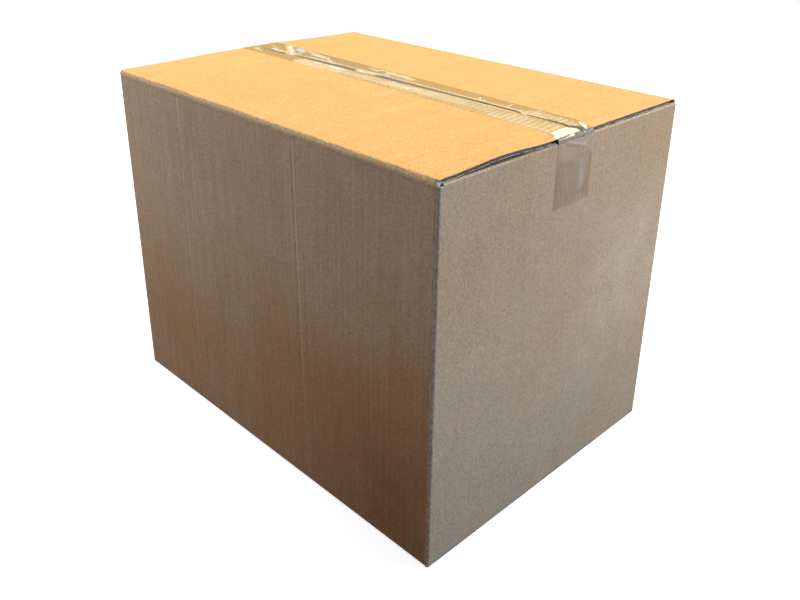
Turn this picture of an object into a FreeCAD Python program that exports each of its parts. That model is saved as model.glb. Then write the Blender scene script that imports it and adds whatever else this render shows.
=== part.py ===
import FreeCAD, Part
import math
import os

# A closed carton of single-wall corrugated board, shut with one strip of packing tape.
# Millimetres, +Z up. X runs along the box and Y across it.
# The origin is the middle of the floor that the box stands on.

V = FreeCAD.Vector

# Carton
box_length = 450.0          # outside, end wall to end wall
box_width = 324.0           # outside, side wall to side wall
box_height = 348.3          # floor to the top of the long flaps at their folds
board = 3.0                 # thickness of the corrugated board
liner = 0.45                # each of its two facing papers
flap_depth = 161.0          # fold to free edge, the same on all eight flaps
top_setback = 2.0           # long top flap's end to the end wall's outer face
base_setback = 3.6          # long lower flap's end to the same face
open_flute_depth = 2.4      # hollow between the liners along the long top flaps' ends
corner_radius = 3.0         # outside of the upright folds
end_fold_radius = 1.8       # outside of the folds along the end walls' top
base_fold_radius = 3.0      # outside of the folds along the side walls' foot
inner_fold_radius = 1.0     # inside of the top folds
flap_gap = 0.2              # between the end flaps and the long flaps
end_flap_side_gap = 2.0     # end flap's edge to the side wall's inner face
foot_gap = 1.0              # floor to the crushed foot of the end walls
foot_radius = 1.4           # rounding of that foot
base_seam = 1.5             # gap between the two long flaps underneath

# Glued joint where the two ends of the sheet meet
tab_length = 35.0           # glue tab, measured inside the box
tab_end_gap = 6.0           # tab's ends to the end flaps
joint_setback = 0.6         # side wall's cut edge to the end wall's outer face

# Sprung shape of the long top flaps: heights above box_height
# at the left end, at the crest, at the crease near the right end, and at the right end
seam_rise = (2.2, 4.6, 3.2, 0.0)
near_shoulder = (2.2, 3.7, 2.2, 0.0)    # where the flap starts to run straight to its seam
near_crown = (1.2, 2.7, 2.4, 2.3)
far_shoulder = (2.2, 3.6, 2.0, 0.0)
far_crown = (0.9, 1.9, 0.9, 0.2)
crest_x = -60.0             # highest place of the seam, from the box's middle
crease_length = 14.0        # right end of the seam, pressed down past a crease
crown_depth = 78.0          # highest line of the sprung flap, in from the side wall
shoulder_reach = 34.0       # shoulder to the box's middle
station_count = 9           # sections that carry the sprung shape
seam_left = 5.4             # width of the top seam at the left end
seam_right = 1.8            # and at the right end
seam_offset = 0.6           # seam's middle, off the box's middle

# Score marks
score_width = 1.3           # pressed line under the long fold, and beside the near corner
score_depth = 0.45
fold_score_drop = 6.2       # long fold's top to its pressed line
corner_score_inset = 3.6    # near corner to its pressed line
mark_width = 1.1            # the two upright rub marks on the near side wall
mark_depth = 0.35
left_mark_x = 108.0         # from the left end, top and foot alike
right_mark_top_x = 284.4    # from the left end, at the top
right_mark_foot_x = 289.4   # from the left end, at the foot

# Tape
tape_width = 50.0
tape_centre_left = 14.0     # tape's middle off the box's middle, at the left end
tape_centre_right = 0.5     # and at the right end
tape_thick = 0.2
tape_gap = 0.15             # tape's underside to the board
tail_length = 57.5          # down each end wall, from its fold
tape_edge_radius = 0.6      # bend over the end of the long flaps
tape_wall_radius = 2.5      # bend onto the end wall

half_length = box_length / 2
half_width = box_width / 2
side_fold_radius = board + inner_fold_radius        # outside of the side walls' top folds
flap_half_length = half_length - top_setback
crease_x = flap_half_length - crease_length
base_flap_half_length = half_length - base_setback
end_flap_top = box_height - board - flap_gap        # outer face of the end flaps
wall_top = end_flap_top - end_fold_radius           # where the upright walls stop
end_flap_base = board + flap_gap                    # underside of the lower end flaps
end_flap_half_width = half_width - board - end_flap_side_gap
tape_half_width = tape_width / 2


# Outlines

def rounded_outline(corners, place):
    """Closed wire through flat corners (u, v, radius); place(u, v) sets a point in space."""
    count = len(corners)
    turns = []
    for index, (u, v, radius) in enumerate(corners):
        point = V(u, v, 0)
        before = V(corners[index - 1][0], corners[index - 1][1], 0)
        after = V(corners[(index + 1) % count][0], corners[(index + 1) % count][1], 0)
        back = (before - point).normalize()
        ahead = (after - point).normalize()
        half_turn = back.getAngle(ahead) / 2
        start, middle, end = point, point, point
        if radius > 0:
            run = radius / math.tan(half_turn)
            reach = radius / math.sin(half_turn) - radius
            start = point + back * run
            end = point + ahead * run
            middle = point + (back + ahead).normalize() * reach
        turns.append((start, middle, end, radius))
    edges = []
    for index, (start, middle, end, radius) in enumerate(turns):
        if radius > 0:
            arc = Part.Arc(place(start.x, start.y), place(middle.x, middle.y), place(end.x, end.y))
            edges.append(arc.toShape())
        next_start = turns[(index + 1) % count][0]
        if end.distanceToPoint(next_start) > 1e-6:
            edges.append(Part.makeLine(place(end.x, end.y), place(next_start.x, next_start.y)))
    return Part.Wire(edges)


def extruded(corners, place, direction):
    """Solid from a flat rounded outline, pushed along a vector."""
    return Part.Face(rounded_outline(corners, place)).extrude(direction)


def box(x_range, y_range, z_range):
    """Upright block between two corners."""
    size = [high - low for low, high in (x_range, y_range, z_range)]
    return Part.makeBox(*size, V(x_range[0], y_range[0], z_range[0]))


def one_solid(shapes):
    """All shapes joined into a single clean solid."""
    joined = shapes[0].multiFuse(shapes[1:]).removeSplitter()
    return joined.Solids[0] if len(joined.Solids) == 1 else joined


# Walls

def upright_walls():
    """The four walls as one bent strip, its two ends glued at the far left corner."""
    def flat(u, v):
        return V(u, v, foot_gap)

    up = V(0, 0, wall_top - foot_gap)
    inner_x = half_length - board
    inner_y = half_width - board
    outer = [
        (-half_length, -half_width, corner_radius),
        (half_length, -half_width, corner_radius),
        (half_length, half_width, corner_radius),
        (-half_length + joint_setback, half_width, 0),
        (-half_length + joint_setback, inner_y, 0),
        (-half_length, inner_y, 0),
    ]
    ring = extruded(outer, flat, up).cut(
        box((-inner_x, inner_x), (-inner_y, inner_y), (0, box_height)))
    tab = box((-inner_x, -inner_x + tab_length), (inner_y - board, inner_y),
              (end_flap_base + board + tab_end_gap, wall_top - board - tab_end_gap))
    return ring.fuse(tab)


def joint_crevice():
    """Air beside the rounded fold of the glue tab, under the side wall's cut edge."""
    inner_y = half_width - board
    radius = board - liner
    corner = box((-half_length - board, -half_length + radius),
                 (inner_y - radius, inner_y), (0, box_height))
    rod = Part.makeCylinder(radius, box_height,
                            V(-half_length + radius, inner_y - radius, 0))
    return corner.cut(rod)


def fold_slots():
    """Notches at the foot of the side walls, where the lower long flaps are folded in."""
    notches = []
    for side in (-1, 1):
        y_range = sorted((side * (half_width + board), side * (half_width - board)))
        notches.append(box((-half_length + board, half_length - board), y_range,
                           (0, base_fold_radius)))
    return notches


# Flaps

def end_flap_top_side(side):
    """Upper end flap: folded in over the opening, under the long flaps."""
    def place(u, v):
        return V(side * u, -end_flap_half_width, v)

    corners = [
        (half_length, wall_top, 0),
        (half_length, end_flap_top, end_fold_radius),
        (half_length - flap_depth, end_flap_top, 0),
        (half_length - flap_depth, end_flap_top - board, 0),
        (half_length - board, end_flap_top - board, 0),
        (half_length - board, wall_top, 0),
    ]
    return extruded(corners, place, V(0, 2 * end_flap_half_width, 0))


def end_flap_base_side(side):
    """Lower end flap, on top of the long flaps."""
    x_range = sorted((side * (half_length - board), side * (half_length - flap_depth)))
    return box(x_range, (-end_flap_half_width, end_flap_half_width),
               (end_flap_base, end_flap_base + board))


def long_flap_base_side(side):
    """Lower long flap: flat on the floor, its fold round."""
    def place(u, v):
        return V(-base_flap_half_length, side * u, v)

    corners = [
        (half_width, max(base_fold_radius, board), 0),
        (half_width, 0, base_fold_radius),
        (base_seam / 2, 0, 0),
        (base_seam / 2, board, 0),
        (half_width - board, board, 0),
        (half_width - board, max(base_fold_radius, board), 0),
    ]
    if base_fold_radius <= board:
        corners = corners[:4]
    return extruded(corners, place, V(2 * base_flap_half_length, 0, 0))


# Sprung long flaps on top

def stations():
    """Evenly spaced sections along the sprung flaps, from the left end to the crease."""
    step = (crease_x + flap_half_length) / (station_count - 1)
    return [-flap_half_length + step * index for index in range(station_count)]


def height_at(heights, x):
    """Swells from the left end to the crest, sinks to the crease, then drops straight."""
    left, crest, crease, right = heights
    quarter = math.pi / 2
    if x < crest_x:
        share = (x + flap_half_length) / (crest_x + flap_half_length)
        return left + (crest - left) * math.sin(quarter * share)
    if x < crease_x:
        share = (x - crest_x) / (crease_x - crest_x)
        return crease + (crest - crease) * math.cos(quarter * share)
    share = (x - crease_x) / crease_length
    return crease + (right - crease) * share


def seam_half_gap(x):
    """Half the width of the top seam, which narrows towards the right end."""
    share = (x + flap_half_length) / (2 * flap_half_length)
    return (seam_left + (seam_right - seam_left) * share) / 2


def sprung_curve(side, x, drop):
    """Crosswise curve of a long flap, from its fold to the tape's edge."""
    crown = height_at(near_crown if side < 0 else far_crown, x)
    shoulder = height_at(near_shoulder if side < 0 else far_shoulder, x)
    level = box_height - drop
    points = [
        V(x, side * (half_width - side_fold_radius), level),
        V(x, side * (half_width - crown_depth), level + crown),
        V(x, side * shoulder_reach, level + shoulder),
    ]
    curve = Part.BSplineCurve()
    curve.interpolate(points, InitialTangent=V(0, -side, 0), FinalTangent=V(0, -side, 0))
    return curve.toShape()


def long_flap_section(side, x):
    """Outline across the box at one station: wall top, fold and sprung flap."""
    seam = height_at(seam_rise, x)
    start_z = wall_top - board
    seam_y = seam_offset + side * seam_half_gap(x)
    outer_y = side * half_width
    inner_y = side * (half_width - board)
    fold_start = box_height - side_fold_radius
    turn = side_fold_radius * (1 - math.sqrt(0.5))
    inner_turn = inner_fold_radius * (1 - math.sqrt(0.5))
    under = box_height - board
    top_curve = sprung_curve(side, x, 0)
    low_curve = sprung_curve(side, x, board)
    top_end = top_curve.Vertexes[-1].Point
    low_end = low_curve.Vertexes[-1].Point
    edges = [
        Part.makeLine(V(x, outer_y, start_z), V(x, outer_y, fold_start)),
        Part.Arc(V(x, outer_y, fold_start),
                 V(x, outer_y - side * turn, box_height - turn),
                 V(x, outer_y - side * side_fold_radius, box_height)).toShape(),
        top_curve,
        Part.makeLine(top_end, V(x, seam_y, box_height + seam)),
        Part.makeLine(V(x, seam_y, box_height + seam), V(x, seam_y, under + seam)),
        Part.makeLine(V(x, seam_y, under + seam), low_end),
        low_curve,
        Part.Arc(V(x, inner_y - side * inner_fold_radius, under),
                 V(x, inner_y - side * inner_turn, under - inner_turn),
                 V(x, inner_y, under - inner_fold_radius)).toShape(),
        Part.makeLine(V(x, inner_y, under - inner_fold_radius), V(x, inner_y, start_z)),
        Part.makeLine(V(x, inner_y, start_z), V(x, outer_y, start_z)),
    ]
    return Part.Wire(edges)


def long_flap_top_side(side):
    """Upper long flap: it springs up along the seam and is held down by the tape."""
    sections = [long_flap_section(side, x) for x in stations()]
    last = long_flap_section(side, flap_half_length)
    flap = Part.makeLoft(sections, True, False).fuse(Part.makeLoft([sections[-1], last], True, True))
    above = box((-box_length, box_length), (-box_width, box_width),
                (wall_top, 2 * box_height))
    return flap.common(above)


def open_flute(side, end):
    """Hollow between the two liners along one end of a long top flap."""
    x = end * flap_half_length
    top_curve = sprung_curve(side, x, liner)
    low_curve = sprung_curve(side, x, board - liner)
    seam_z = box_height + height_at(seam_rise, x)
    top_start, top_end = [vertex.Point for vertex in top_curve.Vertexes]
    low_start, low_end = [vertex.Point for vertex in low_curve.Vertexes]
    top_seam = V(x, seam_offset, seam_z - liner)
    low_seam = V(x, seam_offset, seam_z - board + liner)
    edges = [
        top_curve,
        Part.makeLine(top_end, top_seam),
        Part.makeLine(top_seam, low_seam),
        Part.makeLine(low_seam, low_end),
        low_curve,
        Part.makeLine(low_start, top_start),
    ]
    face = Part.Face(Part.Wire(Part.__sortEdges__(edges)))
    face.translate(V(end * board, 0, 0))
    return face.extrude(V(-end * (board + open_flute_depth), 0, 0))


# Pressed lines

def pressed_line(start, end, width, depth, outward):
    """Three-sided groove along a line on a wall's face."""
    along = end - start
    across = along.cross(outward).normalize() * (width / 2)
    rim = outward * (depth / 2)
    corners = [start + across + rim, start - across + rim, start - outward * depth]
    face = Part.Face(Part.makePolygon(corners + corners[:1]))
    return face.extrude(along)


def score_lines():
    """Pressed lines of the near side wall."""
    out = V(0, -1, 0)
    near = -half_width
    fold_z = box_height - fold_score_drop
    corner_x = half_length - corner_score_inset
    left_x = -half_length + left_mark_x
    top_x = -half_length + right_mark_top_x
    foot_x = -half_length + right_mark_foot_x
    low = base_fold_radius
    return [
        pressed_line(V(-half_length, near, fold_z), V(half_length, near, fold_z),
                     score_width, score_depth, out),
        pressed_line(V(corner_x, near, 0), V(corner_x, near, fold_z),
                     score_width, score_depth, out),
        pressed_line(V(left_x, near, low), V(left_x, near, fold_z),
                     mark_width, mark_depth, out),
        pressed_line(V(foot_x, near, low), V(top_x, near, fold_z),
                     mark_width, mark_depth, out),
    ]


def foot_rounding():
    """Air outside the rounded foot of the two end walls."""
    trims = []
    for side in (-1, 1):
        x_out = side * half_length
        x_in = side * (half_length - foot_radius)
        z_up = foot_gap + foot_radius
        block = box(sorted((x_out + side * board, x_in)), (-half_width - board, half_width + board),
                    (0, z_up))
        rod = Part.makeCylinder(foot_radius, box_width + 2 * board,
                                V(x_in, -half_width - board, z_up), V(0, 1, 0))
        trims.append(block.cut(rod))
    return trims


def carton_blank():
    """The whole folded sheet."""
    walls = upright_walls().cut(joint_crevice())
    walls = walls.cut(fold_slots() + foot_rounding())
    pieces = [walls]
    for side in (-1, 1):
        pieces.append(end_flap_top_side(side))
        pieces.append(end_flap_base_side(side))
        pieces.append(long_flap_base_side(side))
        pieces.append(long_flap_top_side(side))
    flutes = [open_flute(side, end) for side in (-1, 1) for end in (-1, 1)]
    return one_solid(pieces).cut(score_lines() + flutes)


# Tape

def tape_centre(x):
    """Middle of the tape, laid askew at the left and straightened towards the right."""
    share = (half_length - x) / box_length
    return tape_centre_right + (tape_centre_left - tape_centre_right) * share ** 2


def straight_height(shoulder, seam, seam_y, y):
    """Height of a flap between its shoulder and its seam's edge."""
    share = (shoulder_reach - abs(y)) / (shoulder_reach - abs(seam_y))
    return shoulder + (seam - shoulder) * share


def tape_section(x):
    """Crosswise outline of the tape at one station."""
    low = box_height + tape_gap
    near_y = seam_offset - seam_half_gap(x)
    far_y = seam_offset + seam_half_gap(x)
    rise = height_at(seam_rise, x)
    near_edge = tape_centre(x) - tape_half_width
    far_edge = tape_centre(x) + tape_half_width
    near_z = straight_height(height_at(near_shoulder, x), rise, near_y, near_edge)
    far_z = straight_height(height_at(far_shoulder, x), rise, far_y, far_edge)
    line = [
        (near_edge, low + near_z),
        (near_y, low + rise),
        (far_y, low + rise),
        (far_edge, low + far_z),
    ]
    under = [V(x, y, z) for y, z in line]
    over = [V(x, y, z + tape_thick) for y, z in reversed(line)]
    return Part.makePolygon(under + over + under[:1])


def tape_end(side):
    """Tape bent over the long flaps' ends and down the end wall, left (-1) or right (1)."""
    end_x = side * flap_half_length

    def place(u, v):
        return V(side * u, tape_centre(end_x) - tape_half_width, v)

    low = box_height + tape_gap + height_at(seam_rise, end_x)
    top = low + tape_thick
    wall = half_length + tape_gap
    face = wall + tape_thick
    edge = flap_half_length + tape_gap + tape_edge_radius
    landing = wall_top + tape_wall_radius
    foot = end_flap_top - tail_length
    lean = tape_thick / 2
    corners = [
        (flap_half_length, low, 0),
        (edge, low, tape_edge_radius),
        (wall, landing, tape_wall_radius),
        (wall, foot, 0),
        (face, foot, 0),
        (face, landing + lean, tape_wall_radius + tape_thick),
        (edge + lean, top, tape_edge_radius + tape_thick),
        (flap_half_length, top, 0),
    ]
    return extruded(corners, place, V(0, tape_width, 0))


def top_tape():
    """One strip along the seam, with a tail down each end wall."""
    sections = [tape_section(x) for x in stations()]
    strip = Part.makeLoft(sections, True, False)
    dip = Part.makeLoft([sections[-1], tape_section(flap_half_length)], True, True)
    return one_solid([strip, dip, tape_end(-1), tape_end(1)])


nodes = {
    "carton_blank": carton_blank(),
    "top_tape": top_tape(),
}

os.makedirs("parts", exist_ok=True)
for name, shape in nodes.items():
    shape.exportStep(os.path.join("parts", name + ".step"))
    print(name, len(shape.Solids), "solid", shape.isValid(), round(shape.Volume), "mm3", shape.BoundBox)
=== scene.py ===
import bpy
import math
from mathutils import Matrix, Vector, noise
from mathutils.bvhtree import BVHTree


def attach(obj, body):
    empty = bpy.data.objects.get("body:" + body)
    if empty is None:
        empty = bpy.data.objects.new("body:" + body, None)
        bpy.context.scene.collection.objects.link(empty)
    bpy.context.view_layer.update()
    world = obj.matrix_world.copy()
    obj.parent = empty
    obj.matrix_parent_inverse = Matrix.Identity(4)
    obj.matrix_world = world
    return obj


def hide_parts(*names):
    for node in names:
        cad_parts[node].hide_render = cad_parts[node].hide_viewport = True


# A closed carton of kraft board, its strip of packing tape, and the light and floor around them.
# Metres in the model's own frame, but millimetres for the tape and its marks.

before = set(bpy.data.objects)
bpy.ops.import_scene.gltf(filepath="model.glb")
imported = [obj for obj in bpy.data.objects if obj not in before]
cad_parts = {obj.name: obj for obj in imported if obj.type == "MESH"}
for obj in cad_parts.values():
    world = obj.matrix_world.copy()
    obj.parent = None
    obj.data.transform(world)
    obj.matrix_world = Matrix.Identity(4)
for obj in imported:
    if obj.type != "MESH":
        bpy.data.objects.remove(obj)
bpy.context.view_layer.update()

MM = 0.001

# Photograph's view
eye_place = (0.59168, -0.56413, 0.54872)
eye_turn = (66.783, -0.632, 45.443)
eye_lens = 38.226
eye_sensor = 36.0
frame_shift = -0.09375

# Colours
golden_kraft = (0.784, 0.434, 0.150, 1.0)       # upper face, painted lighter and warmer as the light from above falls on it
golden_kraft_brown = (0.640, 0.385, 0.155, 1.0)
dull_kraft = (0.450, 0.340, 0.245, 1.0)         # walls, painted duller and darker than the lid as painted shade
dull_kraft_brown = (0.380, 0.220, 0.115, 1.0)
# end walls' grey: random patches and painted cool shade
dull_kraft_grey = (0.420, 0.365, 0.305, 1.0)
dull_kraft_shade = (0.240, 0.120, 0.060, 1.0)    # painted shade in the near wall's lower right corner
# painted pool of light on the end wall
dull_kraft_pale = (0.520, 0.450, 0.375, 1.0)
pressed_kraft = (0.200, 0.140, 0.095, 1.0)      # score lines and rubbed folds
bare_fibre = (0.660, 0.495, 0.330, 1.0)
fold_kraft = (0.560, 0.410, 0.250, 1.0)         # rolled strip along the long folds
# rubbed upright edges with a painted blue-grey highlight
rubbed_corner_sheen = (0.540, 0.525, 0.520, 1.0)
bent_corner = (0.680, 0.640, 0.610, 1.0)        # very edge of the upright folds
cut_dark = (0.125, 0.125, 0.150, 1.0)           # painted shade in the hollow between the liners
cut_brown = (0.235, 0.200, 0.182, 1.0)          # painted shade on the flap below the lid's lower liner and under the lid
cut_liner = (0.640, 0.640, 0.690, 1.0)
# torn fibres, their blue a painted highlight
torn_paper_sheen = (0.420, 0.560, 0.660, 1.0)

tape_brown = (0.520, 0.345, 0.150, 1.0)         # far half
tape_gold = (0.595, 0.366, 0.115, 1.0)
tape_honey = (0.700, 0.470, 0.212, 1.0)         # near half, painted paler as its sheen, close to the board's own colour
# painted highlight, partly air under the film
tape_cream = (0.800, 0.620, 0.340, 1.0)
# painted highlight
tape_white = (0.930, 0.890, 0.680, 1.0)
# painted reflection of a blue sky
tape_blue = (0.500, 0.700, 0.860, 1.0)
tape_dark = (0.150, 0.180, 0.175, 1.0)          # painted shade of the open seam under the film
tape_shade = (0.085, 0.060, 0.040, 1.0)         # painted shade where the seam is narrow and deep
tape_over_wall = (0.415, 0.325, 0.245, 1.0)     # tails, where the walls show through
tape_nick = (0.400, 0.255, 0.115, 1.0)
tape_wet = (0.335, 0.242, 0.172, 1.0)
# painted grey reflection
tape_grey = (0.390, 0.370, 0.350, 1.0)

# Carton's places, in metres; pairs say where a mask starts and where it is full
fold_height = 0.3483                    # long walls' upper folds
pressed_line_height = 0.3421
lid_score = 0.1535                      # line along the lid beside its folds
corner_score = 0.2214                   # line beside the upright corners
first_rub = -0.1170
second_rub = 0.0594
second_rub_lean = 0.01435
lid_foot = (0.3466, 0.3472)
lid_end_begins = (0.2190, 0.2194)
lid_end_stops = (0.2236, 0.2231)
upper_liner_foot = (0.34805, 0.34780)
right_rise = 0.0023                     # lid over its folds at the right end
left_rise = 0.0022
frayed_middle = (0.2234, -0.1600, 0.3448)
flute_pitch = 0.0062
board_relief = 0.00016
film_relief = 0.00022

# Tape, in millimetres
tape_half_width = 25.0
tape_centre_left = 14.0
tape_centre_right = 0.5
tape_lift = 0.35            # outer face above the board
tape_held = 0.12            # the same at its pressed edges
tape_sheet = 0.08
seam_middle = 0.6
seam_half_left = 2.7
seam_half_right = 0.9
tail_foot = 287.6
tail_run = 57.0             # from its foot to the bend
tail_rows = 64
run_rows = 520
strip_columns = 57
wall_face = 225.35
flute_pitch_mm = 6.2
right_bend = [(225.3, 344.6), (225.1, 345.7), (224.75, 346.5),
              (224.15, 347.7), (223.85, 348.3), (223.4, 348.6)]
left_bend = [(-225.3, 344.6), (-225.15, 345.8), (-224.9, 346.8),
             (-224.2, 349.3), (-223.85, 350.3), (-223.4, 350.8)]
top_end = 222.9

# What is painted on the film's points
painted_names = (
    "honey", "on_wall", "close", "lift_and_sheen", "bright", "sky", "grey", "seam", "nicks", "bars", "worn_edge_sheen")

# Floor and backdrop
floor_size = 3.2
floor_bare = (0.170, 0.120, 0.088, 1.0)         # as the carton sees it
floor_white = (0.72, 0.74, 0.80, 1.0)           # as the camera sees it
floor_glow = 0.62
world_as_light = 0.20
world_as_seen = 1.0


# Shader sums

class Amount:
    """A number that changes over a surface; sums with it add Math nodes."""

    def __init__(self, finish, socket):
        self.finish = finish
        self.socket = socket

    def __add__(self, other):
        return self.finish.maths("ADD", self, other)

    def __radd__(self, other):
        return self.finish.maths("ADD", other, self)

    def __sub__(self, other):
        return self.finish.maths("SUBTRACT", self, other)

    def __rsub__(self, other):
        return self.finish.maths("SUBTRACT", other, self)

    def __mul__(self, other):
        return self.finish.maths("MULTIPLY", self, other)

    def __rmul__(self, other):
        return self.finish.maths("MULTIPLY", other, self)

    def __abs__(self):
        return self.finish.maths("ABSOLUTE", self)


class Finish:
    """One material, built of nodes."""

    def __init__(self, name):
        self.material = bpy.data.materials.new(name)
        self.material.use_nodes = True
        self.tree = self.material.node_tree
        self.tree.nodes.clear()
        place = self.node("ShaderNodeTexCoord")
        self.place = place.outputs["Object"]
        self.x, self.y, self.z = self.axes(self.place)
        self.facing = self.axes(place.outputs["Normal"])

    def node(self, kind, settings=None, inputs=None):
        """Adds a node: its settings first, then the values or links of its sockets."""
        made = self.tree.nodes.new(kind)
        for name, value in (settings or {}).items():
            setattr(made, name, value)
        for name, value in (inputs or {}).items():
            source = value.socket if isinstance(value, Amount) else value
            if isinstance(source, bpy.types.NodeSocket):
                self.tree.links.new(source, made.inputs[name])
            else:
                made.inputs[name].default_value = source
        return made

    def maths(self, operation, first, second=None):
        """One Math node on one value or two."""
        values = {0: first} if second is None else {0: first, 1: second}
        return Amount(self, self.node("ShaderNodeMath", {"operation": operation}, values).outputs[0])

    def axes(self, vector):
        """A vector's three amounts."""
        split = self.node("ShaderNodeSeparateXYZ", inputs={0: vector})
        return [Amount(self, split.outputs[index]) for index in range(3)]

    def rising(self, value, low, high):
        """0 below low, 1 above high, smooth between; the other way round where high is lower."""
        made = self.node("ShaderNodeMapRange", {"interpolation_type": "SMOOTHSTEP"},
                         {"Value": value, "From Min": low, "From Max": high})
        return Amount(self, made.outputs[0])

    def line(self, value, middle, half):
        """1 at the middle, 0 from half a width away."""
        return self.rising(abs(value - middle), half, 0.0)

    def at_most(self, value, limit):
        return self.maths("MINIMUM", value, limit)

    def clouded(self, placed, scale, detail):
        """Noise around 0 at the places of a node's first output."""
        made = self.node("ShaderNodeTexNoise", inputs={
            "Vector": placed.outputs[0], "Scale": scale, "Detail": detail})
        return Amount(self, made.outputs["Fac"]) - 0.5

    def speckle(self, scale, detail, stretch=(1.0, 1.0, 1.0), offset=(0.0, 0.0, 0.0)):
        """Noise in the model's own space."""
        placed = self.node("ShaderNodeMapping", inputs={
            "Vector": self.place, "Scale": stretch, "Location": offset})
        return self.clouded(placed, scale, detail)

    def streaks(self, across, along, scale, detail):
        """Noise drawn out along the flutes."""
        placed = self.node("ShaderNodeCombineXYZ", inputs={0: across, 1: along, 2: 0.0})
        return self.clouded(placed, scale, detail)

    def blend(self, below, above, share):
        """The upper colour over the lower one, by its share."""
        made = self.node("ShaderNodeMix", {"data_type": "RGBA", "clamp_factor": True},
                         {0: share, 6: below, 7: above})
        return made.outputs[2]

    def toned(self, colour, share):
        """The colour made lighter or darker."""
        made = self.node("ShaderNodeVectorMath", {"operation": "SCALE"}, {0: colour, "Scale": share})
        return made.outputs[0]

    def painted(self, name):
        """What was painted on the piece's own points."""
        return Amount(self, self.node("ShaderNodeAttribute", {"attribute_name": name}).outputs["Fac"])

    def surface(self, colour, roughness, height, depth, fixed):
        """Joins all up: colour, roughness and relief vary, the fixed values don't."""
        relief = self.node("ShaderNodeBump", inputs={"Strength": 1.0, "Distance": depth, "Height": height})
        inputs = {"Base Color": colour, "Roughness": roughness, "Normal": relief.outputs[0]}
        inputs.update(fixed)
        shader = self.node("ShaderNodeBsdfPrincipled", inputs=inputs)
        self.node("ShaderNodeOutputMaterial", inputs={"Surface": shader.outputs[0]})
        return self.material


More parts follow.
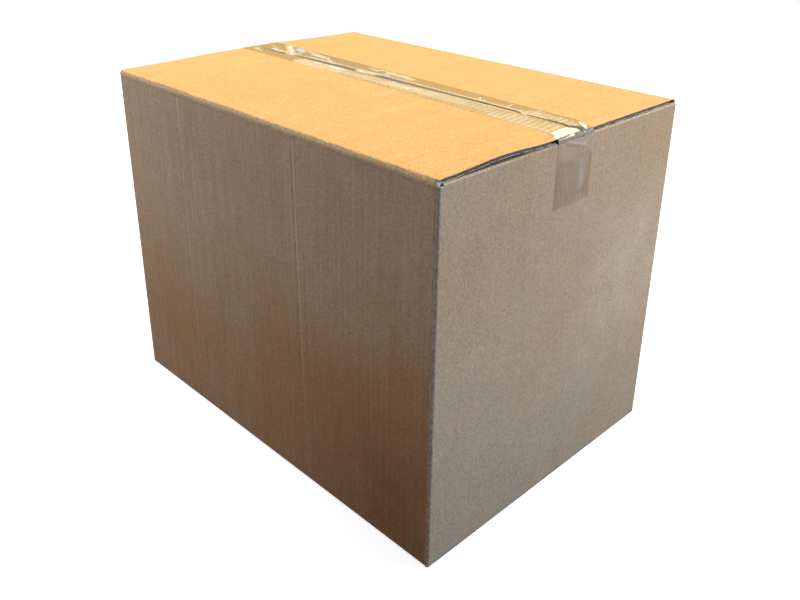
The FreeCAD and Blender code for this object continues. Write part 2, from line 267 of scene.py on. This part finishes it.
def kraft_board_finish():
    """Kraft liner over flutes: fibre grain, washboard, mottling, rubbed folds and score lines, with painted
    light and shade on the lid, walls, corners and cut ends.
    """
    finish = Finish("kraft_board")
    rising, line, blend, at_most = finish.rising, finish.line, finish.blend, finish.at_most
    x, y, z = finish.x, finish.y, finish.z
    face_x, face_y, face_z = finish.facing
    lying = rising(abs(face_z), 0.5, 0.8)
    on_end = rising(abs(face_x), 0.6, 0.8)
    side_wall = rising(abs(face_y), 0.3, 0.5)
    across = x + (y - x) * on_end
    along = z + (y - z) * lying

    # Noises, the ripple of the flutes, and how far a straight line strays
    cloud = finish.speckle(9.0, 3.0)
    patches = finish.speckle(38.0, 3.0, offset=(0.3, 0.1, 0.2))
    grain = finish.speckle(430.0, 3.0)
    fibres = finish.speckle(900.0, 2.0, offset=(0.2, 0.4, 0.1))
    hatched = finish.speckle(520.0, 2.0, stretch=(1.0, 1.0, 0.5), offset=(0.7, 0.2, 0.5))
    rough_cut = finish.speckle(420.0, 2.0, stretch=(1.0, 0.35, 1.6), offset=(0.1, 0.6, 0.3))
    drawn = finish.streaks(across, along * 0.035, 260.0, 3.0)
    broad = finish.streaks(across, along * 0.1, 42.0, 2.0)
    wander = finish.streaks(across, along, 14.0, 1.0)
    flutes = finish.maths("SINE", (across + wander * 0.0012) * (2 * math.pi / flute_pitch))
    uneven = drawn * 0.0020 + broad * 0.0026 + wander * 0.0030

    # Upper face. Its rise over the folds is taken off at both ends, to tell its two liners apart there
    hump_right = rising(y, -0.156, -0.092) * rising(y, -0.036, -0.080) * right_rise
    hump_left = rising(abs(y), 0.152, 0.040) * left_rise
    hump = hump_left + (hump_right - hump_left) * rising(x, -0.01, 0.01)
    level = z - hump
    at_end = rising(abs(x), *lid_end_begins) * rising(abs(x), *lid_end_stops)
    under_liner = rising(level, *upper_liner_foot)
    turned = face_z + (wander * 0.30 + broad * 0.28 + drawn * 0.55) * rising(face_z, 0.96, 0.88)
    upper = rising(turned, 0.80, 0.86) * rising(z, *lid_foot) * (1 - at_end * under_liner)

    # Long walls are browner towards the foot and the right: random patches, and painted shade darkest in the
    # near wall's lower right corner
    lower = rising(z, 0.33, 0.02)
    to_right = rising(x, -0.15, 0.2) * (lower * 0.55 + 0.10)
    brown = rising(patches * 0.5 + cloud * 0.9 + lower * 0.68 + to_right, 0.10, 0.95)
    walls = blend(dull_kraft, dull_kraft_brown, brown * (1 - on_end) * 0.95)
    # Painted shade in the near wall's lower right corner
    deep = rising(x, 0.02, 0.20) * rising(z, 0.20, 0.03) * (1 - on_end)
    walls = blend(walls, dull_kraft_shade, deep * (0.85 + patches))
    # End walls are greyer: random patches and painted cool shade
    grey = rising(cloud * 0.8 - patches * 0.3 + lower * 0.5 - y * 1.2, -0.05, 0.60)
    walls = blend(walls, dull_kraft_grey, grey * on_end * 0.9)
    warm = rising(y, 0.03, 0.14) * rising(z, 0.24, 0.31)
    walls = blend(walls, dull_kraft_brown, warm * on_end * (0.26 + patches))
    # A painted pool of light on the end wall
    light = line(y, 0.105, 0.115) * line(z, 0.195, 0.120)
    walls = blend(walls, dull_kraft_pale, light * on_end * (0.60 + patches))
    right_end = rising(x, 0.02, 0.21) * rising(patches + cloud, 0.0, 0.28)
    lid = blend(golden_kraft, golden_kraft_brown, right_end * 0.35)
    # The lid painted lighter and warmer than the walls: painted light from above
    colour = blend(walls, lid, upper)

    # Long folds: a rounded strip with a rubbed upper edge and a pressed line below it
    strip = rising(z, pressed_line_height, pressed_line_height + 0.0010)
    strip_wall = strip * side_wall * (1 - upper)
    pressed = line(z + uneven, pressed_line_height - 0.0002, 0.0012) * side_wall
    rolled = line(turned, 0.79, 0.09) * strip * (0.30 + drawn * 1.2)
    shaded = strip_wall * (drawn * 1.2 + hatched * 1.5 + rising(turned, 0.30, 0.62) * 0.34)
    fold_light = strip_wall * (0.88 + broad)
    fold_line = line(abs(y) + uneven * 0.6, lid_score, 0.0012) * (0.9 + wander * 3.0)

    # Rub marks from top to foot on the near wall: paler at the top, darker towards the foot
    near_wall = rising(face_y, -0.5, -0.8) * rising(z, 0.3410, 0.3380)
    first = x - first_rub + wander * 0.0010
    second = x - second_rub - (fold_height - z) * second_rub_lean + wander * 0.0010
    rubs = (line(first, 0.0, 0.0022) * (0.05 + lower * 0.20)
            + line(second, 0.0, 0.0021) * (0.08 + lower * 0.22))
    lips = (line(first, 0.0012, 0.0025) * (0.84 - lower * 0.60)
            + line(second, 0.0014, 0.0025) * (0.90 - lower * 0.80))

    # Upright corners, rubbed along the very edge with a painted blue-grey highlight there, and the foot of the
    # walls
    corner_line = (line(abs(x) + uneven * 0.5, corner_score, 0.0013) * side_wall
                   * rising(z, 0.22, 0.33) * 0.26)
    edge_far = finish.maths("MAXIMUM", rising(abs(x), 0.2212, 0.2240), 1 - side_wall)
    corner_edge = edge_far * rising(abs(y) + uneven * 0.4, 0.1582, 0.1604) * (1 - lying)
    bent = rising(abs(face_x), 0.14, 0.42) * rising(abs(face_y), 0.14, 0.42) * (1 - lying)
    foot = rising(z + uneven, 0.0046, 0.0012) * (1 - lying)

    # Creases across the lid
    first_crease = line(x - 0.147 + (y - 0.06) * 0.05 + wander * 0.002, 0.0, 0.0011)
    second_crease = line(x - 0.064 + (y + 0.1) * 0.03 + wander * 0.002, 0.0, 0.0011)
    third_crease = line(x - 0.149 + wander * 0.002, 0.0, 0.0010)
    crease = (first_crease * rising(y, 0.025, 0.045) * rising(y, 0.100, 0.070)
              + second_crease * rising(y, -0.060, -0.080)
              + third_crease * line(y, -0.060, 0.035) * 0.6)

    dark = (pressed * 0.24 + rolled + shaded + fold_line * upper * 0.17 + rubs * near_wall
            + corner_line + foot * 0.7 + crease * upper * 0.16)
    end_fold = rising(abs(x), 0.2229, 0.2233) * rising(z, 0.3436, 0.3442) * (1 - side_wall)
    pale = lips * near_wall * (0.75 + drawn) + end_fold * (0.36 + grain)
    rubbed = corner_edge * (0.74 + grain - side_wall * 0.42)
    colour = blend(colour, fold_kraft, fold_light)
    colour = blend(colour, pressed_kraft, at_most(dark, 0.9))
    colour = blend(colour, bare_fibre, at_most(pale, 0.6))
    colour = blend(colour, rubbed_corner_sheen, at_most(rubbed, 0.9))
    colour = blend(colour, bent_corner, at_most(bent * (0.62 + grain), 0.9))

    # Ends of the lid: two cut liners with painted shade in the hollow between them, and painted shadow on the
    # wall's fold under the lid
    turned_in = rising(x, 0.01, -0.01) * rising(face_x, -0.6, -0.3)
    opened = (at_end * rising(z, 0.3446, 0.3450) * (1 - upper)
              * rising(abs(y), 0.1612, 0.1606) * (1 - turned_in))
    outer_cut = rising(abs(x), 0.22285, 0.22295) * rising(abs(face_x), 0.5, 0.8)
    shadow_below_lid = (rising(x, 0.2230, 0.2234) * rising(z, 0.3438, 0.3447)
                 * rising(y, -0.090, -0.045) * rising(y, -0.016, -0.024))
    low_liner = rising(level, 0.3470, 0.3465)
    liner = opened * outer_cut * low_liner * rising(rough_cut, -0.16, 0.10) * 0.90
    hollow = blend(cut_dark, cut_brown, rising(level, 0.3466, 0.3460))
    colour = blend(colour, cut_brown, shadow_below_lid * 0.85)
    colour = blend(colour, finish.toned(hollow, 1.0 + rough_cut * 2.2), opened * 0.94)
    colour = blend(colour, cut_liner, liner)

    # Frayed spot at the near corner: torn fibres with a painted bluish highlight, which also lightens the
    # shaded hole there
    gap_x, gap_y, gap_z = [place - middle for place, middle in zip((x, y, z), frayed_middle)]
    spread = (gap_x * gap_x * 0.7 + gap_y * gap_y * 0.14 + gap_z * gap_z * 1.2
              + grain * 0.0000120 + fibres * 0.0000060)
    frayed_and_sheen = rising(spread, 0.0000036, 0.0000014)
    colour = blend(colour, torn_paper_sheen, frayed_and_sheen * 0.7)

    # Grain, flutes that show on the walls more than on the lid, and painted shade at the foot of the end walls
    mottled = 1.0 + cloud * 0.12 + patches * 0.16
    tone = (mottled + grain * 0.60 + fibres * 0.76
            + (drawn * 0.38 + broad * 0.16) * (1 - on_end * 0.7)
            + flutes * (0.008 + wander * 0.05) * (1 - on_end * 0.92)
            - on_end * rising(z, 0.17, 0.02) * 0.10)
    calm = mottled + grain * 0.62 + fibres * 0.85 + drawn * 0.28 + broad * 0.10
    colour = finish.toned(colour, tone + (calm - tone) * upper)

    roughness = 0.80 + grain * 0.25 + patches * 0.10 - rubs * near_wall * 0.12 - corner_edge * 0.20
    height = (flutes * 0.14 * (1 - on_end * 0.75) + grain * 0.9 + fibres * 0.5 + drawn * 0.5
              - crease * upper * 1.2)
    return finish.surface(colour, roughness, height, board_relief, {"Specular IOR Level": 0.32})


def packing_tape_finish():
    """Glossy brown film: where it lies close it is darker; its pale and bright patches are painted highlights
    and reflections, partly air under the film.
    """
    finish = Finish("packing_tape_film")
    rising, blend = finish.rising, finish.blend
    honey, on_wall, close, lift_and_sheen, bright, sky, grey, seam, nicks, bars, worn_edge_sheen = [
        finish.painted(name) for name in painted_names]

    cloud = finish.speckle(60.0, 3.0)
    bubbles = finish.speckle(420.0, 2.0)
    scratches = finish.speckle(150.0, 3.0, stretch=(0.25, 2.2, 1.0))
    spots = finish.speckle(1100.0, 2.0)

    dull = (rising(finish.x, 0.03, -0.04) * rising(finish.x, -0.165, -0.125)
            * rising(finish.y, 0.002, 0.008))
    colour = blend(tape_gold, tape_brown, rising(cloud + bubbles * 0.6 + dull * 0.5, -0.05, 0.35) * 0.9)
    # Near half painted paler as its sheen
    colour = blend(colour, tape_honey, honey)
    colour = blend(colour, tape_over_wall, on_wall)
    colour = blend(colour, tape_wet, close * (0.9 + bubbles * 0.9))
    # Cream where the film bulges: air under it and a painted highlight
    rough_edge = (cloud + bubbles * 0.9 + scratches * 0.5) * (0.9 - honey * 0.5)
    air_and_sheen = rising(lift_and_sheen + rough_edge, 0.25, 0.75)
    colour = blend(colour, tape_cream, air_and_sheen)
    # Painted highlights
    shine = rising(bright + (bubbles + scratches * 0.6) * 0.7, 0.30, 0.70)
    colour = blend(colour, tape_white, shine)
    # Painted sky reflection
    colour = blend(colour, tape_blue, rising(sky + bubbles * 0.7, 0.25, 0.7))
    # Painted grey reflection
    glare = rising(grey + bubbles * 1.1 + scratches * 0.6, 0.15, 1.0)
    colour = blend(colour, tape_grey, glare * 0.8)
    colour = blend(colour, tape_brown, bars * (0.72 + bubbles))
    # Painted shade of the open seam, and on the bend under the lid's end
    shadow = blend(tape_dark, tape_shade, rising(finish.x, 0.085, 0.135) * 0.8)
    gap = rising(seam + (bubbles + cloud) * 0.30, 0.10, 0.60)
    colour = blend(colour, shadow, gap * (0.92 - shine * on_wall * 0.85))
    colour = blend(colour, tape_nick, rising(nicks + bubbles * 0.5, 0.3, 0.8) * 0.75)
    # Edges worn rougher, and painted paler as a highlight
    colour = blend(colour, tape_cream, worn_edge_sheen * (1 - on_wall) * 0.20)
    colour = finish.toned(colour, 1.0 + cloud * 0.12 + bubbles * 0.10 + scratches * 0.16 + spots * 0.12)

    roughness = 0.26 + bubbles * 0.20 + spots * 0.10 + worn_edge_sheen * 0.25 + on_wall * 0.28
    height = bubbles * 0.6 + scratches * 0.8 + cloud * 0.6 + spots * 0.15
    return finish.surface(colour, roughness, height, film_relief, {"Specular IOR Level": 0.45})


# Packing tape

def mixed(low, high, share):
    """low at share 0, high at share 1."""
    return low + (high - low) * share


def smooth_step(low, high, value):
    """0 at low, 1 at high, whichever way round they lie."""
    share = min(1.0, max(0.0, (value - low) / (high - low)))
    return share * share * (3 - 2 * share)


def from_line(x, y, mark):
    """How strong a mark is at a point: full on its line, gone one and a half widths away."""
    x0, y0, x1, y1, width, strength = mark
    run_x, run_y = x1 - x0, y1 - y0
    length = run_x * run_x + run_y * run_y
    share = min(1.0, max(0.0, ((x - x0) * run_x + (y - y0) * run_y) / length)) if length else 0.0
    away = math.hypot(x - x0 - run_x * share, y - y0 - run_y * share)
    return strength * (1 - smooth_step(0.35 * width, 1.5 * width, away))


# Marks on the tape's upper run: from x, y to x, y, width, strength
# Near half painted paler as its sheen
honey_marks = [
    (-92, -11, -52, -11, 15.0, 1.0), (-56, -11, 218, -12, 15.0, 1.0),
]
# Cream patches: air under the film and painted highlights
lift_and_sheen_marks = [
    (-206, 22, -198, 19, 3.0, 0.55), (-194, 33, -150, 5, 4.6, 1.0), (-194, 10.5, -170, 8, 3.6, 0.85),
    (-166, 9, -152, 4, 3.4, 0.9), (-178, 22, -164, 12, 3.0, 0.8), (-126, 10.6, -60, 10.4, 1.7, 0.75),
    (-60, 10.2, -10, 10.4, 1.6, 0.65), (-8, 9.6, 60, 9.4, 1.7, 0.95), (60, 9.6, 158, 10.2, 1.8, 0.90),
    (58, 0.2, 160, 1.8, 1.3, 0.80),
    (-158, 24, -146, 10, 3.6, 0.6), (-152, 30, -126, 22, 3.6, 0.65), (-136, 23, -112, 20, 4.2, 0.85),
    (-116, 22, -86, 9, 2.8, 0.9), (-144, 8, -112, 9, 2.6, 0.7), (-112, 8, -76, 8, 2.0, 0.55),
    (-44, 24, -30, 20, 4.0, 0.65), (-30, 25, -12, 24, 3.0, 0.7), (-14, 20, 4, 22, 4.2, 0.85),
    (4, 23, 19, 19, 4.4, 0.85), (-14, 14, -6, 12, 2.6, 0.7), (28, 18, 38, 8, 1.2, 0.5),
    (108, 17, 112, 12, 1.4, 0.9), (114, 16, 119, 11, 1.2, 0.7), (141, 22, 143, 14, 1.4, 0.6),
    (134, 9, 142, 10, 1.6, 0.6), (158, 12, 176, 8, 3.0, 0.65), (170, 17, 210, 14, 7.5, 0.66),
    (-216, 5, -206, 0, 1.6, 0.8), (-212, -2, -194, -5, 1.8, 0.8), (-126, -12, -104, -18, 2.0, 0.85),
    (-118, -8, -60, -9, 8.0, 1.0), (-100, -16, -76, -17, 5.0, 0.9), (-58, -10, 14, -11, 8.0, 0.50),
    (16, -8, 62, -9, 6.5, 0.58), (70, -7, 160, -9, 8.5, 0.56), (150, -18, 208, -20, 4.0, 0.55),
    (168, -8, 212, -9, 8.5, 0.56), (-46, 6, -16, 5, 5.0, 1.0), (156, 8, 172, 3.6, 2.6, 0.9),
    (176, 8.4, 188, 8, 1.6, 0.9),
]
# Painted highlights
highlight_marks = [
    (-191, 32, -172, 20, 2.6, 1.0), (-172, 20, -158, 10, 2.0, 0.9), (-192, 10.5, -184, 9.5, 1.8, 0.8),
    (-176, 9, -170, 8, 2.0, 0.8), (-152, 4.5, -157, 8, 1.8, 0.7), (-132, 22, -114, 21, 1.8, 0.5),
    (-106, 17, -92, 11, 1.2, 0.7), (-104, -3, -62, -3, 2.6, 0.55), (-72, -6, -60, -7, 2.4, 0.45),
    (-44, 7, -36, 4, 2.4, 0.50), (-30, 8, -18, 3, 2.2, 0.50), (-6, 24, 16, 20, 2.2, 0.35),
    (14, -1, 26, -7, 2.2, 0.52), (30, -7, 40, -9, 2.4, 0.48), (42, -9, 52, -2, 2.4, 0.52),
    (217.4, 5.5, 217.4, -16, 4.8, 1.0), (219.5, -16, 221.5, -24, 2.2, 0.9), (213, 22, 217, 19, 1.8, 1.0),
    (217, 22, 220, 17, 1.8, 1.0), (219, 19, 222.5, 15, 1.5, 0.9), (219, 8.5, 224, 6.0, 1.1, 0.9),
    (217, 12.5, 223, 12.0, 1.0, 0.7),
    (160, 7.6, 170, 4, 1.6, 0.45), (176, 8.4, 188, 7.8, 0.9, 0.8),
]
# Painted sky reflection
sky_reflection_marks = [(-170, 31, -160, 25, 4.4, 1.0), (-178, 33, -172, 31, 2.0, 0.5), (-160, 31, -156, 28, 2.0, 0.5)]
# Painted shade of the open seam under the film; the film also dips along it
seam_marks = [
    (-206, 6.4, -190, 5.4, 2.4, 0.44), (-190, 5.4, -164, 2.6, 2.4, 0.52), (-164, 2.4, -142, 1.5, 1.2, 0.32),
    (-142, 4.8, -116, 4.4, 2.4, 0.60),
    (-118, 3.6, -48, 3.2, 2.7, 1.0), (-46, -0.4, -16, 0.0, 1.2, 0.45), (-14, 3.2, 20, 3.2, 3.2, 0.80),
    (20, 3.3, 74, 3.9, 2.5, 1.0), (74, 4.0, 126, 5.0, 2.1, 1.0), (126, 5.1, 156, 5.5, 1.7, 1.0),
    (156, 5.5, 164, 3.6, 1.1, 0.8), (171, 4.0, 196, 4.2, 1.2, 0.85), (196, 4.4, 213, 4.6, 1.8, 1.0),
    (213, 4.6, 215.5, 9.0, 1.2, 1.0), (215.5, 9.0, 220.5, 14.5, 2.4, 1.0), (217, 11.5, 224, 9.5, 1.9, 0.9),
    (211.4, -24, 211.4, 2, 0.8, 0.26),
]
run_marks = {"lift_and_sheen": lift_and_sheen_marks, "bright": highlight_marks, "sky": sky_reflection_marks, "seam": seam_marks}
nick_runs = [(-47, -22), (-14, 28), (54, 63), (74, 112)]

# Ridges where the film has wrinkled: from x, y to x, y, width, height in millimetres
ridges = [
    (-200, 33, -154, 7, 2.2, 0.60), (-208, 28, -186, 18, 1.4, 0.40), (-196, 14, -164, 5, 1.6, 0.40),
    (-216, 5, -192, -4, 1.3, 0.40), (-152, 30, -110, 20, 1.6, 0.35), (-118, 22, -84, 8, 1.5, 0.40),
    (-128, -8, -94, -18, 1.4, 0.35), (-46, 8, -18, 1, 1.8, 0.40), (-20, 28, 18, 20, 1.8, 0.30),
    (156, 9, 174, -1, 1.6, 0.55), (168, 24, 190, 8, 1.2, 0.30), (206, 26, 222, 12, 1.5, 0.60),
    (211.6, -24, 211.6, 6, 1.0, -0.35), (200, 9, 221, 13, 1.2, -0.40), (218, -20, 218.5, 2, 2.2, 0.35),
    (28, -6, 56, -10, 1.8, 0.25), (96, 22, 124, 12, 1.3, 0.22), (-220, 24, -204, 12, 1.4, 0.45),
    (-220, -6, -206, 2, 1.4, 0.40),
]

# Marks on the tails and on the bend above them: from y, z to y, z, width, strength
tail_close_marks = [
    (-15, 310, 15, 312, 15.0, 0.74), (-16, 295, 16, 297, 9.0, 0.74), (-21.5, 326, -21.5, 289, 3.6, 0.50),
    (-18.5, 320, -18.0, 290, 1.5, 0.45), (22.6, 330, 22.4, 289, 2.4, 0.60), (-18, 327, -4, 324, 3.0, 0.50),
    (4, 330, 20, 331, 3.0, 0.55),
]
# Painted grey reflections on the tails and the bend
tail_grey_marks = [
    (12.0, 320, 11.5, 305, 6.6, 0.62), (10, 314, 8, 289, 2.4, 0.42), (-12, 311, -9, 299, 3.2, 0.40),
    (-13, 297, -11, 290, 2.0, 0.40), (3, 344, 5, 336, 1.8, 0.45), (9, 345, 11, 336, 3.0, 0.50),
    (17, 344, 18, 336, 2.4, 0.40), (-26, 346.9, -18, 346.9, 1.1, 0.55), (-14, 347.0, -8, 347.2, 1.3, 0.55),
    (12, 346.4, 18, 346.2, 1.0, 0.60), (21, 346.0, 25, 346.2, 1.0, 0.55),
]
# Painted shade on the bend under the lid's end
tail_shade_marks = [
    (-7, 348.6, 9, 345.0, 0.8, 1.0), (-26, 345.4, -2, 345.4, 0.45, 0.55), (6, 347.9, 26, 347.4, 0.9, 0.9),
    (-26, 348.5, -6, 348.7, 0.8, 0.95), (-26, 347.0, 26, 346.6, 2.4, 0.52),
]
# Painted highlights on the bend
tail_highlight_marks = [
    (-24, 347.3, -14, 347.5, 0.7, 0.58), (-13, 347.6, -3, 348.0, 0.9, 0.66), (5.5, 347.8, 7, 346.6, 0.6, 0.62),
    (11, 348.0, 12.5, 346.4, 0.6, 0.62), (15, 347.0, 17, 346.6, 0.5, 0.60), (20, 347.4, 24, 347.2, 0.6, 0.62),
]
tail_marks = {"grey": tail_grey_marks, "bright": tail_highlight_marks, "seam": tail_shade_marks}
tail_ridges = [(-12, 343, 12, 336, 1.6, 0.35), (4, 334, 22, 342, 1.3, 0.30), (8, 318, 11, 287, 1.2, 0.22),
               (-15, 320, -6, 296, 1.3, 0.15), (-22, 300, -18, 342, 1.2, 0.15)]


def tape_stations():
    """Places along the strip: tail, bend, upper run, bend, tail, as (x, z), z empty on the run."""
    heights = [tail_foot + tail_run * step / tail_rows for step in range(tail_rows)]
    left = [(-wall_face, height) for height in heights] + left_bend
    right = [(wall_face, height) for height in heights] + right_bend
    run = [(-top_end + 2 * top_end * step / run_rows, None) for step in range(run_rows + 1)]
    return left + run + right[::-1]


def seam_half(x):
    """Half of the open seam's width, with half a millimetre beside it."""
    return mixed(seam_half_left, seam_half_right, (x + top_end) / (2 * top_end)) + 0.5


def board_height(board, x, y):
    """Top of the lid under a point; over the open seam, level between its two edges."""
    def fallen(at_y):
        hit = board.ray_cast(Vector((x * MM, at_y * MM, 0.5)), Vector((0, 0, -1)))
        return hit[0].z / MM

    half = seam_half(x)
    if abs(y - seam_middle) < half:
        low, high = fallen(seam_middle - half), fallen(seam_middle + half)
        return mixed(low, high, (y - seam_middle + half) / (2 * half))
    return fallen(y)


def film_lift(x, y):
    """Wrinkles and ripples of the upper run, in millimetres."""
    ripple = math.sin(2 * math.pi * x / flute_pitch_mm + 0.05 * y)
    strength = (0.035 + 0.11 * smooth_step(160, 176, x)
                + 0.05 * smooth_step(0, -14, y) * smooth_step(-60, -20, x))
    lift = strength * ripple
    lift += (0.10 * noise.noise(Vector((x / 9, y / 5, 1.3)))
             + 0.07 * noise.noise(Vector((x / 3.2, y / 2.4, 7.7))))
    for ridge in ridges:
        lift += from_line(x, y, ridge)
    for mark in seam_marks:
        lift -= 0.22 * from_line(x, y, mark)
    return max(-0.12, lift)


def tail_lift(y, z):
    """Small wrinkles of a tail, in millimetres."""
    lift = (0.05 * noise.noise(Vector((y / 6, z / 9, 3.1)))
            + 0.03 * noise.noise(Vector((y / 2.2, z / 2.8, 5.2))))
    for ridge in tail_ridges:
        lift += from_line(y, z, ridge)
    return max(-0.06, lift)


def torn_foot(y):
    """Little teeth that the cutter leaves along a tail's end."""
    return 0.55 * abs((y / 2.6) % 1 - 0.5) * 2 + 0.5 * noise.noise(Vector((y / 7, 0.4, 2.2)))


def drift(x):
    """The strip wanders a little to the far side on its right half."""
    return 2.0 * smooth_step(-60, 40, x) * smooth_step(222, 200, x)


def summed(x, y, marks):
    """All marks of one kind at a point, from 0 to 1."""
    return min(1.0, max(0.0, sum(from_line(x, y, mark) for mark in marks)))


def nicks_at(x, y, edge):
    """Small gaps under the film's near edge, one at each flute."""
    for start, end in nick_runs:
        if start <= x <= end:
            beat = abs(((x - start) / flute_pitch_mm) % 1 - 0.5) * 2
            return smooth_step(0.45, 0.85, beat) * (1 - smooth_step(1.2, 2.6, abs(y - edge - 3.0)))
    return 0.0


def bars_at(x, y):
    """Darker bars where the film follows the flutes under it."""
    ripple = math.sin(2 * math.pi * x / flute_pitch_mm + 0.04 * y)
    beat = smooth_step(0.40, 0.95, 0.5 + 0.5 * ripple)
    near = smooth_step(100, 125, x) * smooth_step(0, -5, y) * smooth_step(-21, -17, y)
    far = smooth_step(150, 162, x) * smooth_step(7, 10, y) * smooth_step(27, 23, y)
    return beat * max(near, far) * smooth_step(214, 210, x) * 0.85


def paint(mesh, name, values):
    """One value per point, for the finish to read."""
    layer = mesh.attributes.new(name, "FLOAT", "POINT")
    layer.data.foreach_set("value", values)


def lay_packing_tape(carton):
    """A flat grid as long as the strip is laid over the lid and down both end walls."""
    stations = tape_stations()
    rows = len(stations)
    bpy.ops.object.select_all(action="DESELECT")
    bpy.ops.mesh.primitive_grid_add(x_subdivisions=rows - 1, y_subdivisions=strip_columns - 1, size=1.0)
    tape = bpy.context.object
    tape.name = "packing_tape"
    mesh = tape.data
    board = BVHTree.FromObject(carton, bpy.context.evaluated_depsgraph_get())
    painted = {name: [] for name in painted_names}
    for point in mesh.vertices:
        row = round((point.co.x + 0.5) * (rows - 1))
        across = point.co.y * 2
        x, z = stations[row]
        share = (wall_face - x) / (2 * wall_face)
        middle = mixed(tape_centre_right, tape_centre_left, share * share)
        y = middle + tape_half_width * across
        edge = middle - tape_half_width
        marks = dict.fromkeys(painted_names, 0.0)
        marks["worn_edge_sheen"] = smooth_step(0.965, 1.0, abs(across))
        if z is None:
            y += 0.25 * noise.noise(Vector((x / 14, across, 8.8))) + drift(x)
            edge += drift(x)
            lift = film_lift(x, y) * (1 - 0.85 * smooth_step(0.9, 1.0, abs(across)))
            hold = mixed(tape_lift, tape_held, smooth_step(0.92, 1.0, abs(across)))
            z = board_height(board, x, y) + hold + lift * smooth_step(-top_end, -top_end + 3, x)
            for name, lines in run_marks.items():
                marks[name] = summed(x, y, lines)
            marks["honey"] = summed(x, y, honey_marks) * smooth_step(4.0, 1.0, y)
            marks["nicks"] = nicks_at(x, y, edge)
            marks["bars"] = bars_at(x, y)
        else:
            side = 1 if x > 0 else -1
            beside = y - middle
            z += torn_foot(y) * smooth_step(300, tail_foot, z)
            held = (tape_lift - tape_held) * smooth_step(0.90, 1.0, abs(across))
            x -= side * held * smooth_step(344.6, 342, z)
            loose = smooth_step(tail_foot, tail_foot + 4, z) * smooth_step(349, 345, z)
            x += side * tail_lift(beside, z) * loose
            ragged = z + 3.0 * noise.noise(Vector((beside / 3.1, 1.7, 0.3)))
            marks["on_wall"] = 1.0
            for name, lines in tail_marks.items():
                marks[name] = summed(beside, z, lines)
            stuck = smooth_step(334, 329, ragged + beside * 0.1)
            marks["close"] = summed(beside, z, tail_close_marks) * stuck
        for name, value in marks.items():
            painted[name].append(value)
        point.co = Vector((x, y, z)) * MM
    for name, values in painted.items():
        paint(mesh, name, values)
    if mesh.polygons[len(mesh.polygons) // 2].normal.z < 0:
        mesh.flip_normals()
    sheet = tape.modifiers.new("sheet", "SOLIDIFY")
    sheet.thickness = tape_sheet * MM
    sheet.offset = -1
    bpy.ops.object.modifier_apply(modifier="sheet")
    bpy.ops.object.shade_smooth_by_angle(angle=math.radians(50))
    tape.data.materials.clear()
    tape.data.materials.append(packing_tape_finish())
    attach(tape, "root")
    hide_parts("top_tape")


# Floor, light and camera

def pale_floor():
    """White ground that keeps the carton's shadow and fades into the backdrop."""
    bpy.ops.object.select_all(action="DESELECT")
    bpy.ops.mesh.primitive_plane_add(size=floor_size, location=(0, 0, 0))
    floor = bpy.context.object
    floor.name = "floor"
    ground = Finish("pale_floor")
    bare = ground.node("ShaderNodeBsdfDiffuse", inputs={"Color": floor_bare})
    white = ground.node("ShaderNodeBsdfDiffuse", inputs={"Color": floor_white})
    far_out = ground.rising(ground.maths("MAXIMUM", abs(ground.x), abs(ground.y)), 1.05, 1.50)
    whiteness = ground.toned((1.0, 1.0, 1.0), floor_glow + far_out * (1.0 - floor_glow))
    glow = ground.node("ShaderNodeEmission", inputs={"Color": whiteness, "Strength": 1.0})
    seen = ground.node("ShaderNodeAddShader", inputs={0: white.outputs[0], 1: glow.outputs[0]})
    path = ground.node("ShaderNodeLightPath")
    shown = ground.node("ShaderNodeMixShader", inputs={
        0: path.outputs["Is Camera Ray"], 1: bare.outputs[0], 2: seen.outputs[0]})
    ground.node("ShaderNodeOutputMaterial", inputs={"Surface": shown.outputs[0]})
    floor.data.materials.append(ground.material)


def backdrop():
    """White where the camera sees it, softer as a light."""
    world = bpy.data.worlds.new("studio")
    bpy.context.scene.world = world
    world.use_nodes = True
    tree = world.node_tree
    tree.nodes.clear()
    path = tree.nodes.new("ShaderNodeLightPath")
    strength = tree.nodes.new("ShaderNodeMapRange")
    tree.links.new(path.outputs["Is Camera Ray"], strength.inputs["Value"])
    strength.inputs["To Min"].default_value = world_as_light
    strength.inputs["To Max"].default_value = world_as_seen
    light = tree.nodes.new("ShaderNodeBackground")
    light.inputs["Color"].default_value = (1.0, 1.0, 1.0, 1.0)
    tree.links.new(strength.outputs[0], light.inputs["Strength"])
    out = tree.nodes.new("ShaderNodeOutputWorld")
    tree.links.new(light.outputs[0], out.inputs["Surface"])


def soft_lamp(name, place, target, size, power, colour):
    """A square lamp that looks at its target."""
    lamp = bpy.data.lights.new(name, "AREA")
    lamp.shape = "SQUARE"
    lamp.size = size
    lamp.energy = power
    lamp.color = colour
    holder = bpy.data.objects.new(name, lamp)
    bpy.context.scene.collection.objects.link(holder)
    holder.location = place
    direction = Vector(target) - Vector(place)
    holder.rotation_euler = direction.to_track_quat("-Z", "Y").to_euler()


def studio_light():
    soft_lamp("lamp_above", place=(-0.4, 0.2, 2.3), target=(0, 0, 0.3),
              size=1.3, power=38.0, colour=(1.0, 0.945, 0.86))
    soft_lamp("lamp_end", place=(1.15, 1.1, 0.85), target=(0.2, 0.1, 0.25),
              size=0.8, power=29.5, colour=(0.90, 0.94, 0.96))
    soft_lamp("lamp_side", place=(-0.95, -0.70, 0.75), target=(-0.35, -0.16, 0.34),
              size=0.5, power=8.7, colour=(0.96, 0.96, 0.95))


def camera():
    lens = bpy.data.cameras.new("camera")
    lens.lens = eye_lens
    lens.sensor_width = eye_sensor
    lens.shift_y = frame_shift
    eye = bpy.data.objects.new("camera", lens)
    bpy.context.scene.collection.objects.link(eye)
    eye.location = eye_place
    eye.rotation_euler = [math.radians(turn) for turn in eye_turn]
    bpy.context.scene.camera = eye


camera()
backdrop()
studio_light()
pale_floor()
carton_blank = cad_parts["carton_blank"]
board_material = kraft_board_finish()
for slot in carton_blank.material_slots:
    slot.material = board_material
lay_packing_tape(carton_blank)

bpy.context.scene.view_settings.view_transform = "Standard"
